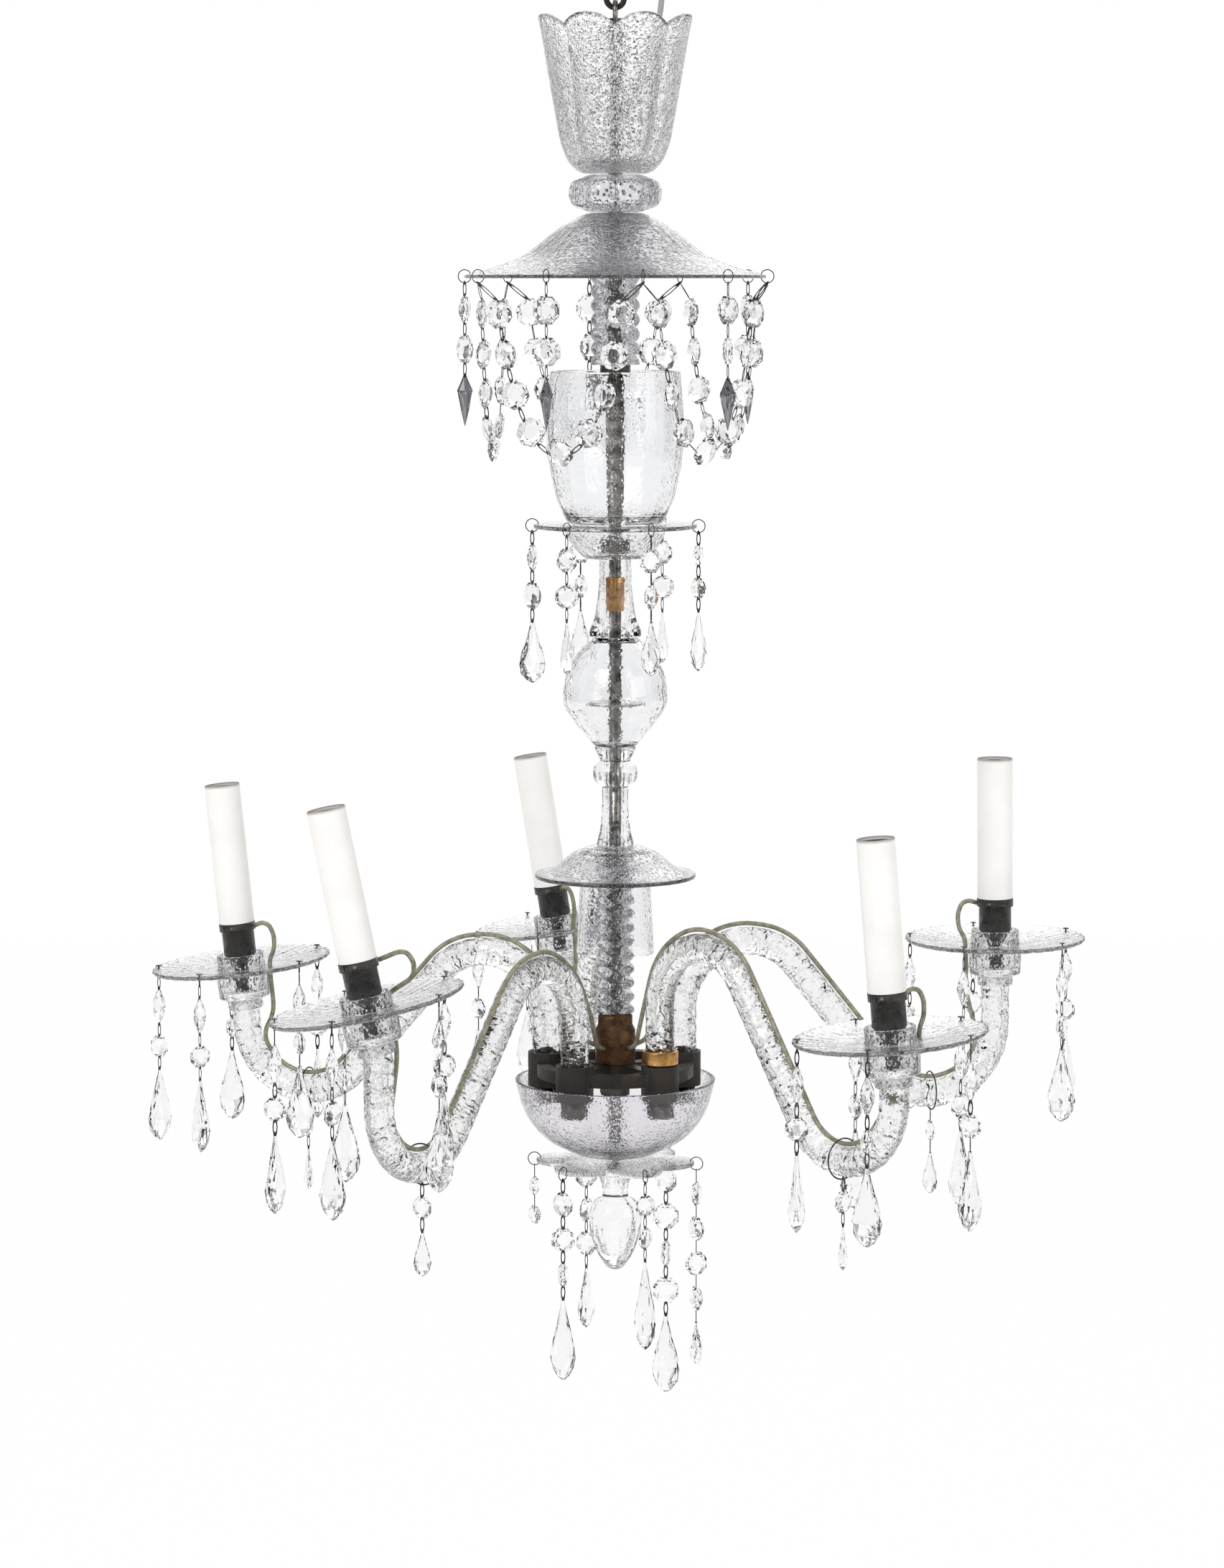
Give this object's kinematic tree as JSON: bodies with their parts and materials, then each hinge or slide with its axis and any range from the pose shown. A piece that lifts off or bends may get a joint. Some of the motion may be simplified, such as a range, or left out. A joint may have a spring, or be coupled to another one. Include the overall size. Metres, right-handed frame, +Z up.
{
  "type": "crystal chandelier",
  "caption": "Hanging glass chandelier: a stacked column on a rod, curved glass arms with candle lampholders, and crystal garlands and drops.",
  "frame": {"origin": "the hanging point, at the inner top of the suspension link", "axes": "+Z up along the rod, +X to the right and +Y to the back as the picture is seen"},
  "size_m": [0.6723, 0.6456, 1.0619],
  "materials": {
    "moulded_glass": "clear pressed glass, stippled and ribbed",
    "cut_crystal": "cut and polished lead crystal",
    "black_iron": "blackened iron, dull",
    "plated_steel": "dulled nickel plate",
    "aged_brass": "brass, browned and rusty",
    "orange_brass": "plain turned brass",
    "bakelite": "black bakelite",
    "candle_card": "off-white card sleeve",
    "gold_flex": "cream and gold twin flex",
    "grey_flex": "grey insulated flex",
    "terminal_plastic": "white terminal block"
  },
  "bodies": {
    "hanger": {"suspension_link": "black_iron"},
    "column": {"ceiling_cup": "moulded_glass", "neck_knop": "moulded_glass", "canopy_dish": "moulded_glass", "upper_twist_column": "moulded_glass", "fluted_vase": "moulded_glass", "middle_dish": "moulded_glass", "trumpet_stem": "moulded_glass", "glass_baluster": "moulded_glass", "spindle": "moulded_glass", "lower_canopy": "moulded_glass", "outer_glass_tube": "moulded_glass", "lower_twist_column": "moulded_glass", "receiver_bowl": "moulded_glass", "bottom_dish": "moulded_glass", "finial_ball": "moulded_glass", "candle_cups": "moulded_glass", "bobeches": "moulded_glass", "arm_1": "moulded_glass", "arm_2": "moulded_glass", "arm_3": "moulded_glass", "arm_4": "moulded_glass", "arm_5": "moulded_glass", "central_rod": "plated_steel", "wiring_hub": "aged_brass", "receiver_plate": "black_iron", "bolts_and_nuts": "orange_brass", "hook_rings": "plated_steel", "supply_cord": "grey_flex", "supply_terminal": "terminal_plastic", "lampholders": "bakelite", "lamp_wires": "gold_flex", "arm_crystals": "cut_crystal"},
    "candle_sleeve_1": {"candle_sleeve_1": "candle_card"},
    "candle_sleeve_2": {"candle_sleeve_2": "candle_card"},
    "candle_sleeve_3": {"candle_sleeve_3": "candle_card"},
    "candle_sleeve_4": {"candle_sleeve_4": "candle_card"},
    "candle_sleeve_5": {"candle_sleeve_5": "candle_card"},
    "canopy_garland_1": {"canopy_garland_1": "cut_crystal"},
    "canopy_garland_2": {"canopy_garland_2": "cut_crystal"},
    "canopy_garland_3": {"canopy_garland_3": "cut_crystal"},
    "canopy_garland_4": {"canopy_garland_4": "cut_crystal"},
    "canopy_garland_5": {"canopy_garland_5": "cut_crystal"},
    "canopy_drop_1": {"canopy_drop_1": "cut_crystal"},
    "canopy_drop_2": {"canopy_drop_2": "cut_crystal"},
    "canopy_drop_3": {"canopy_drop_3": "cut_crystal"},
    "canopy_drop_4": {"canopy_drop_4": "cut_crystal"},
    "canopy_drop_5": {"canopy_drop_5": "cut_crystal"},
    "middle_drop_1": {"middle_drop_1": "cut_crystal"},
    "middle_drop_2": {"middle_drop_2": "cut_crystal"},
    "middle_drop_3": {"middle_drop_3": "cut_crystal"},
    "middle_drop_4": {"middle_drop_4": "cut_crystal"},
    "middle_drop_5": {"middle_drop_5": "cut_crystal"},
    "middle_drop_6": {"middle_drop_6": "cut_crystal"},
    "bottom_drop_1": {"bottom_drop_1": "cut_crystal"},
    "bottom_drop_2": {"bottom_drop_2": "cut_crystal"},
    "bottom_drop_3": {"bottom_drop_3": "cut_crystal"},
    "bottom_drop_4": {"bottom_drop_4": "cut_crystal"},
    "bottom_drop_5": {"bottom_drop_5": "cut_crystal"},
    "bottom_drop_6": {"bottom_drop_6": "cut_crystal"}
  },
  "joints": [
    {"name": "chandelier_swing", "type": "hinge", "parent": "hanger", "child": "column", "pos_m": [0, 0, -0.034], "axis": [1, 0, 0], "range_deg": [-8, 8]},
    {"name": "sleeve_1_slide", "type": "slide", "parent": "column", "child": "candle_sleeve_1", "axis": [-0.007, 0, 1], "range_m": [0, 0.11]},
    {"name": "sleeve_2_slide", "type": "slide", "parent": "column", "child": "candle_sleeve_2", "axis": [-0.1564, 0, 0.9877], "range_m": [0, 0.11]},
    {"name": "sleeve_3_slide", "type": "slide", "parent": "column", "child": "candle_sleeve_3", "axis": [-0.1011, 0, 0.9949], "range_m": [0, 0.11]},
    {"name": "sleeve_4_slide", "type": "slide", "parent": "column", "child": "candle_sleeve_4", "axis": [-0.1994, 0, 0.9799], "range_m": [0, 0.11]},
    {"name": "sleeve_5_slide", "type": "slide", "parent": "column", "child": "candle_sleeve_5", "axis": [-0.0785, 0, 0.9969], "range_m": [0, 0.11]},
    {"name": "garland_1_swing", "type": "hinge", "parent": "column", "child": "canopy_garland_1", "pos_m": [0.06122, -0.05912, -0.22222], "axis": [-0.6947, -0.7193, 0], "range_deg": [-10, 15]},
    {"name": "garland_2_swing", "type": "hinge", "parent": "column", "child": "canopy_garland_2", "pos_m": [-0.03731, -0.0765, -0.22222], "axis": [-0.8988, 0.4384, 0], "range_deg": [-10, 15]},
    {"name": "garland_3_swing", "type": "hinge", "parent": "column", "child": "canopy_garland_3", "pos_m": [-0.08428, 0.01184, -0.22222], "axis": [0.1392, 0.9903, 0], "range_deg": [-10, 15]},
    {"name": "garland_4_swing", "type": "hinge", "parent": "column", "child": "canopy_garland_4", "pos_m": [-0.01478, 0.08382, -0.22222], "axis": [0.9848, 0.1736, 0], "range_deg": [-10, 15]},
    {"name": "garland_5_swing", "type": "hinge", "parent": "column", "child": "canopy_garland_5", "pos_m": [0.07515, 0.03996, -0.22222], "axis": [0.4695, -0.8829, 0], "range_deg": [-10, 15]},
    {"name": "canopy_drop_1_swing", "type": "hinge", "parent": "column", "child": "canopy_drop_1", "pos_m": [0.07567, -0.07308, -0.2176], "axis": [-0.6947, -0.7193, 0], "range_deg": [-12, 15]},
    {"name": "canopy_drop_2_swing", "type": "hinge", "parent": "column", "child": "canopy_drop_2", "pos_m": [-0.04612, -0.09455, -0.2176], "axis": [-0.8988, 0.4384, 0], "range_deg": [-12, 15]},
    {"name": "canopy_drop_3_swing", "type": "hinge", "parent": "column", "child": "canopy_drop_3", "pos_m": [-0.10418, 0.01464, -0.2176], "axis": [0.1392, 0.9903, 0], "range_deg": [-12, 15]},
    {"name": "canopy_drop_4_swing", "type": "hinge", "parent": "column", "child": "canopy_drop_4", "pos_m": [-0.01827, 0.1036, -0.2176], "axis": [0.9848, 0.1736, 0], "range_deg": [-12, 15]},
    {"name": "canopy_drop_5_swing", "type": "hinge", "parent": "column", "child": "canopy_drop_5", "pos_m": [0.09289, 0.04939, -0.2176], "axis": [0.4695, -0.8829, 0], "range_deg": [-12, 15]},
    {"name": "middle_drop_1_swing", "type": "hinge", "parent": "column", "child": "middle_drop_1", "pos_m": [0.05748, -0.00503, -0.3895], "axis": [-0.0872, -0.9962, 0], "range_deg": [-5, 20]},
    {"name": "middle_drop_2_swing", "type": "hinge", "parent": "column", "child": "middle_drop_2", "pos_m": [0.02439, -0.05229, -0.3895], "axis": [-0.9063, -0.4226, 0], "range_deg": [-5, 20]},
    {"name": "middle_drop_3_swing", "type": "hinge", "parent": "column", "child": "middle_drop_3", "pos_m": [-0.0331, -0.04727, -0.3895], "axis": [-0.8192, 0.5736, 0], "range_deg": [-5, 20]},
    {"name": "middle_drop_4_swing", "type": "hinge", "parent": "column", "child": "middle_drop_4", "pos_m": [-0.05748, 0.00503, -0.3895], "axis": [0.0872, 0.9962, 0], "range_deg": [-5, 20]},
    {"name": "middle_drop_5_swing", "type": "hinge", "parent": "column", "child": "middle_drop_5", "pos_m": [-0.02439, 0.05229, -0.3895], "axis": [0.9063, 0.4226, 0], "range_deg": [-5, 20]},
    {"name": "middle_drop_6_swing", "type": "hinge", "parent": "column", "child": "middle_drop_6", "pos_m": [0.0331, 0.04727, -0.3895], "axis": [0.8192, -0.5736, 0], "range_deg": [-5, 20]},
    {"name": "bottom_drop_1_swing", "type": "hinge", "parent": "column", "child": "bottom_drop_1", "pos_m": [0.0565, -0.00895, -0.834], "axis": [-0.1564, -0.9877, 0], "range_deg": [-6, 15]},
    {"name": "bottom_drop_2_swing", "type": "hinge", "parent": "column", "child": "bottom_drop_2", "pos_m": [0.0205, -0.0534, -0.834], "axis": [-0.9336, -0.3584, 0], "range_deg": [-6, 15]},
    {"name": "bottom_drop_3_swing", "type": "hinge", "parent": "column", "child": "bottom_drop_3", "pos_m": [-0.036, -0.04445, -0.834], "axis": [-0.7771, 0.6293, 0], "range_deg": [-6, 15]},
    {"name": "bottom_drop_4_swing", "type": "hinge", "parent": "column", "child": "bottom_drop_4", "pos_m": [-0.0565, 0.00895, -0.834], "axis": [0.1564, 0.9877, 0], "range_deg": [-6, 15]},
    {"name": "bottom_drop_5_swing", "type": "hinge", "parent": "column", "child": "bottom_drop_5", "pos_m": [-0.0205, 0.0534, -0.834], "axis": [0.9336, 0.3584, 0], "range_deg": [-6, 15]},
    {"name": "bottom_drop_6_swing", "type": "hinge", "parent": "column", "child": "bottom_drop_6", "pos_m": [0.036, 0.04445, -0.834], "axis": [0.7771, -0.6293, 0], "range_deg": [-6, 15]}
  ]
}
